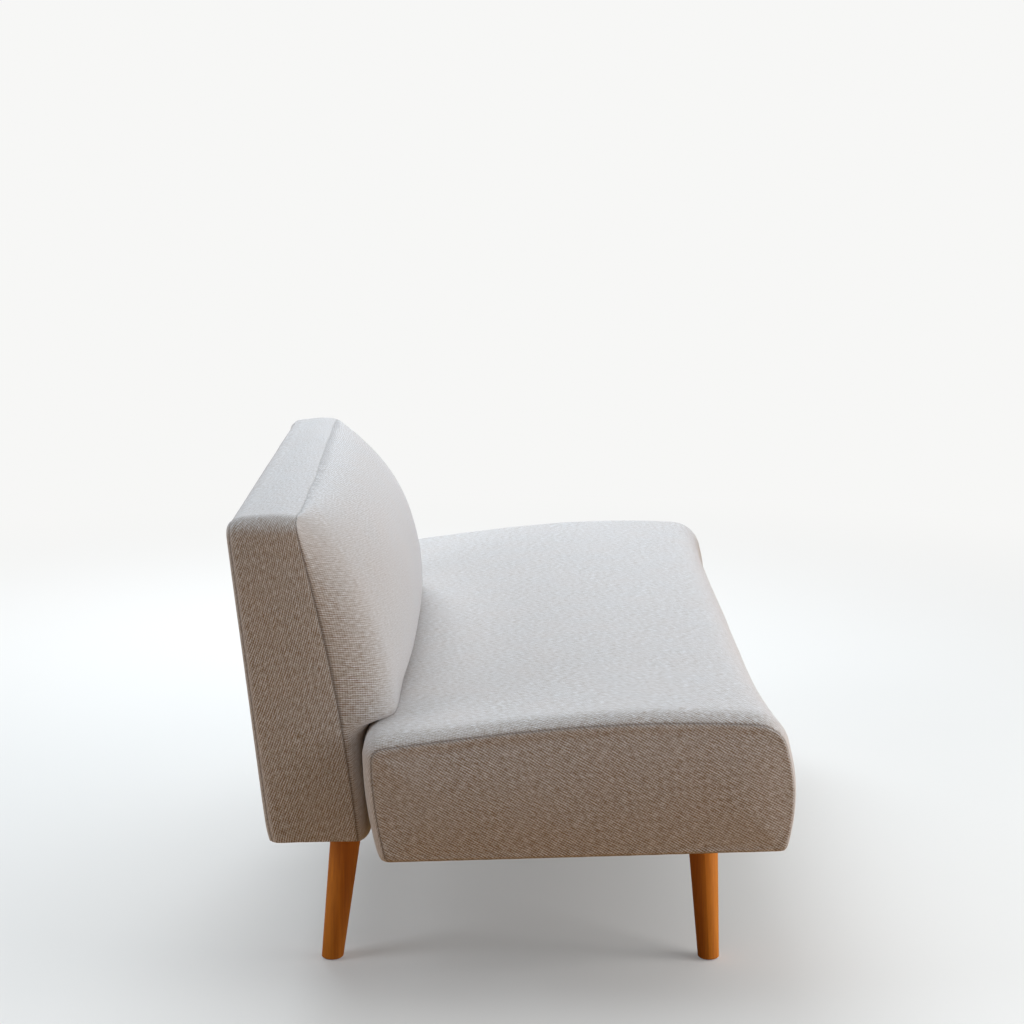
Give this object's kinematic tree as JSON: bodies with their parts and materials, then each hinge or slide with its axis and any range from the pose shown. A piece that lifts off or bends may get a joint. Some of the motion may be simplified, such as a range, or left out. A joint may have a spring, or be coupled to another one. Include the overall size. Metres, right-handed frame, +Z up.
{
  "type": "armless sofa",
  "caption": "Armless upholstered sofa with a deep crowned seat pad, a shorter bulging back pad set towards one end and splayed, tapered wooden legs.",
  "frame": {"origin": "on the floor, under the middle of the overall box", "axes": "+X runs along the sofa towards the sitter's left, +Y from the front of the seat to the back, +Z up"},
  "size_m": [1.36, 0.741, 0.66],
  "materials": {
    "upholstery": "soft two-tone diagonal weave in light warm grey",
    "leg_wood": "clear satin lacquer over warm orange-brown hardwood, grain along the leg",
    "frame_timber": "planed softwood, unfinished",
    "foam": "open-cell upholstery foam",
    "wadding": "fibre wadding",
    "webbing": "elastic woven webbing",
    "under_cloth": "thin non-woven cloth",
    "steel": "zinc-plated steel",
    "felt": "pressed felt"
  },
  "bodies": {
    "root": {"seat_front_rail": "frame_timber", "seat_rear_rail": "frame_timber", "seat_end_rail_left": "frame_timber", "seat_end_rail_right": "frame_timber", "seat_cross_rails": "frame_timber", "seat_leg_board_left": "frame_timber", "seat_leg_board_right": "frame_timber", "seat_webbing_cross": "webbing", "seat_webbing_long": "webbing", "seat_foam": "foam", "seat_wadding": "wadding", "seat_cover_main": "upholstery", "seat_cover_end_left": "upholstery", "seat_cover_end_right": "upholstery", "seat_dust_cover": "under_cloth", "back_stile_left": "frame_timber", "back_stile_right": "frame_timber", "back_top_rail": "frame_timber", "back_bottom_rail": "frame_timber", "back_mid_stiles": "frame_timber", "back_base_board": "frame_timber", "back_webbing_long": "webbing", "back_webbing_upright": "webbing", "back_front_foam": "foam", "back_edge_padding": "wadding", "back_rear_padding": "wadding", "back_cover_front": "upholstery", "back_cover_boxing": "upholstery", "back_cover_rear": "upholstery", "back_bottom_cloth": "under_cloth", "front_leg_left": "leg_wood", "front_leg_right": "leg_wood", "rear_leg_left": "leg_wood", "rear_leg_right": "leg_wood", "leg_glides": "felt", "leg_hanger_bolts": "steel", "leg_tee_nuts": "steel", "joining_brackets": "steel", "joining_screws": "steel"}
  },
  "joints": []
}
